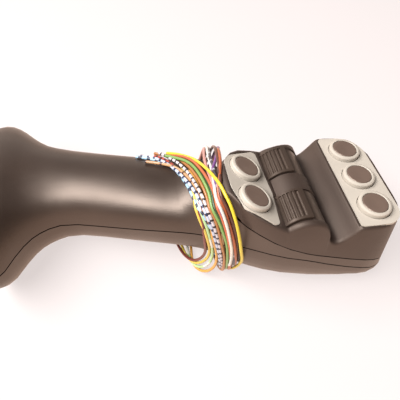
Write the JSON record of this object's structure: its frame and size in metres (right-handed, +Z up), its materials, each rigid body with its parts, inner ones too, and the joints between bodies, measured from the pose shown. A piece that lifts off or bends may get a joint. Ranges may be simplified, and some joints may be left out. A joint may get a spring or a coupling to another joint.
{
  "type": "industrial joystick grip",
  "caption": "Skewed-head joystick hand grip with pushbuttons and thumb rollers on top, a flared hand rest, a shaft sleeve at its base and loose leads wound round its neck.",
  "frame": {"origin": "middle of the underside of the grip's bounding box, on the surface it lies on, measured without the loose leads", "axes": "+X along the head and the shaft sleeve's axis, away from the base; +Y across the grip towards its far flank; +Z up, out of the button face"},
  "size_m": [0.2216, 0.1232, 0.0608],
  "materials": {
    "shell": "fine moulded texture, warm charcoal",
    "cover": "fine moulded texture, warm charcoal",
    "plate": "pale grey trim with a satin face",
    "bezel": "pale grey-cream moulding",
    "cap": "dark smooth cap",
    "roller": "dark semi-gloss moulding",
    "frame": "black engineering plastic",
    "switch": "black switch housing",
    "chip": "black epoxy package",
    "socket": "natural nylon connector",
    "board": "green solder mask",
    "grommet": "black rubber",
    "clamp": "natural nylon",
    "steel": "zinc-plated steel",
    "black_steel": "black oxide steel",
    "spring_steel": "bright spring steel",
    "magnet": "nickel-plated magnet",
    "nut": "nickel-plated nut",
    "contact": "tinned brass",
    "sleeve": "turned aluminium",
    "lead": "coloured insulated hook-up wire"
  },
  "bodies": {
    "grip": {"back_shell": "shell", "front_shell": "shell", "head_cover": "cover", "left_plate": "plate", "right_plate": "plate", "bezel_left_1": "bezel", "bezel_left_2": "bezel", "bezel_right_1": "bezel", "bezel_right_2": "bezel", "bezel_right_3": "bezel", "bezel_nuts": "nut", "switch_bodies": "switch", "snap_domes": "spring_steel", "switch_leads": "contact", "roller_axles": "steel", "roller_springs": "spring_steel", "roller_frame": "frame", "frame_screws": "steel", "hall_sensors": "chip", "control_board": "board", "board_parts": "chip", "board_socket": "socket", "board_screws": "steel", "shell_screws": "steel", "head_screws": "steel", "mount_sleeve": "sleeve", "set_screws": "black_steel", "sleeve_pin": "steel", "cable_grommet": "grommet", "cable_clamp": "clamp", "harness_run": "lead", "harness_coil": "lead", "harness_tails": "lead"},
    "cap_left_1": {"cap_left_1": "cap"},
    "cap_left_2": {"cap_left_2": "cap"},
    "cap_right_1": {"cap_right_1": "cap"},
    "cap_right_2": {"cap_right_2": "cap"},
    "cap_right_3": {"cap_right_3": "cap"},
    "roller_upper": {"roller_upper": "roller", "roller_magnets_upper": "magnet"},
    "roller_lower": {"roller_lower": "roller", "roller_magnets_lower": "magnet"}
  },
  "joints": [
    {"name": "cap_left_1_press", "type": "slide", "parent": "grip", "child": "cap_left_1", "axis": [-0.454, 0, -0.891], "range_m": [0, 0.0012], "stiffness_N_per_m": 900, "springref_m": -0.0008},
    {"name": "cap_left_2_press", "type": "slide", "parent": "grip", "child": "cap_left_2", "axis": [-0.454, 0, -0.891], "range_m": [0, 0.0012], "stiffness_N_per_m": 900, "springref_m": -0.0008},
    {"name": "cap_right_1_press", "type": "slide", "parent": "grip", "child": "cap_right_1", "axis": [-0.0698, 0, -0.9976], "range_m": [0, 0.0012], "stiffness_N_per_m": 900, "springref_m": -0.0008},
    {"name": "cap_right_2_press", "type": "slide", "parent": "grip", "child": "cap_right_2", "axis": [-0.0698, 0, -0.9976], "range_m": [0, 0.0012], "stiffness_N_per_m": 900, "springref_m": -0.0008},
    {"name": "cap_right_3_press", "type": "slide", "parent": "grip", "child": "cap_right_3", "axis": [-0.0698, 0, -0.9976], "range_m": [0, 0.0012], "stiffness_N_per_m": 900, "springref_m": -0.0008},
    {"name": "roller_upper_turn", "type": "hinge", "parent": "grip", "child": "roller_upper", "pos_m": [0.05445, -0.01435, 0.0432], "axis": [0, 1, 0], "range_deg": [-25, 25], "stiffness_Nm_per_rad": 0.04},
    {"name": "roller_lower_turn", "type": "hinge", "parent": "grip", "child": "roller_lower", "pos_m": [0.05445, -0.03995, 0.0432], "axis": [0, 1, 0], "range_deg": [-25, 25], "stiffness_Nm_per_rad": 0.04}
  ]
}
